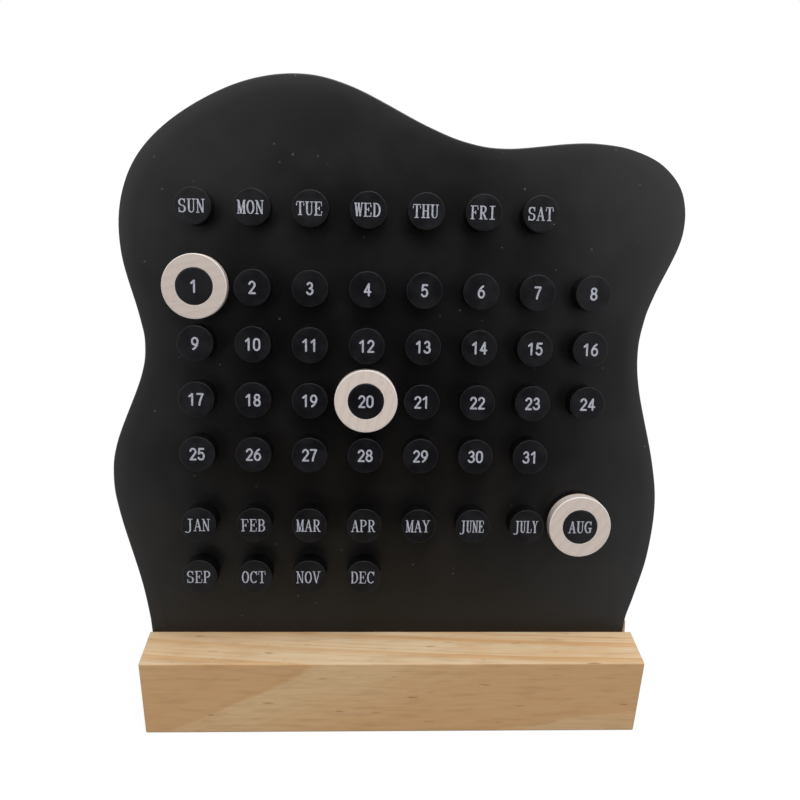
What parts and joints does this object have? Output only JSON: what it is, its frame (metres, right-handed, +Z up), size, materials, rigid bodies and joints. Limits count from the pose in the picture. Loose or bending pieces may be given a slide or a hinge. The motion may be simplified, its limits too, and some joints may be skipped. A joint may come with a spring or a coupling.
{
  "type": "perpetual desk calendar",
  "caption": "Free-standing perpetual desk calendar: a wavy peg board leans back in a slotted wooden block, and loose rings hang on pegs to mark the weekday, date and month.",
  "frame": {"origin": "middle of the wooden block's underside", "axes": "+X along the block to the reader's right, +Y to the back, +Z up; the board's face looks towards -Y and leans back 13 degrees"},
  "size_m": [0.206, 0.0699, 0.23],
  "materials": {
    "pine": "bare sanded pine, clear of varnish, growth lines along the block",
    "black_board": "satin black paint on board",
    "black_peg": "satin black paint on dowel, with a pale print on the face",
    "pale_wood": "bare sanded pale hardwood",
    "pale_print": "thin screen-printed ink on the pegs' faces, cool grey-white"
  },
  "bodies": {
    "base": {"base_block": "pine"},
    "board": {"calendar_board": "black_board", "peg_sun": "black_peg", "peg_mon": "black_peg", "peg_tue": "black_peg", "peg_wed": "black_peg", "peg_thu": "black_peg", "peg_fri": "black_peg", "peg_sat": "black_peg", "peg_01": "black_peg", "peg_02": "black_peg", "peg_03": "black_peg", "peg_04": "black_peg", "peg_05": "black_peg", "peg_06": "black_peg", "peg_07": "black_peg", "peg_08": "black_peg", "peg_09": "black_peg", "peg_10": "black_peg", "peg_11": "black_peg", "peg_12": "black_peg", "peg_13": "black_peg", "peg_14": "black_peg", "peg_15": "black_peg", "peg_16": "black_peg", "peg_17": "black_peg", "peg_18": "black_peg", "peg_19": "black_peg", "peg_20": "black_peg", "peg_21": "black_peg", "peg_22": "black_peg", "peg_23": "black_peg", "peg_24": "black_peg", "peg_25": "black_peg", "peg_26": "black_peg", "peg_27": "black_peg", "peg_28": "black_peg", "peg_29": "black_peg", "peg_30": "black_peg", "peg_31": "black_peg", "peg_jan": "black_peg", "peg_feb": "black_peg", "peg_mar": "black_peg", "peg_apr": "black_peg", "peg_may": "black_peg", "peg_june": "black_peg", "peg_july": "black_peg", "peg_aug": "black_peg", "peg_sep": "black_peg", "peg_oct": "black_peg", "peg_nov": "black_peg", "peg_dec": "black_peg"},
    "ring_01": {"marker_ring_01": "pale_wood"},
    "ring_20": {"marker_ring_20": "pale_wood"},
    "ring_aug": {"marker_ring_aug": "pale_wood"}
  },
  "joints": [
    {"name": "board_lift", "type": "slide", "parent": "base", "child": "board", "axis": [0, 0.225, 0.9744], "range_m": [0, 0.02]},
    {"name": "ring_01_slide", "type": "slide", "parent": "board", "child": "ring_01", "axis": [0, -0.9744, 0.225], "range_m": [-0.0021, 0.01]},
    {"name": "ring_20_slide", "type": "slide", "parent": "board", "child": "ring_20", "axis": [0, -0.9744, 0.225], "range_m": [-0.0021, 0.01]},
    {"name": "ring_aug_slide", "type": "slide", "parent": "board", "child": "ring_aug", "axis": [0, -0.9744, 0.225], "range_m": [-0.0021, 0.01]}
  ]
}
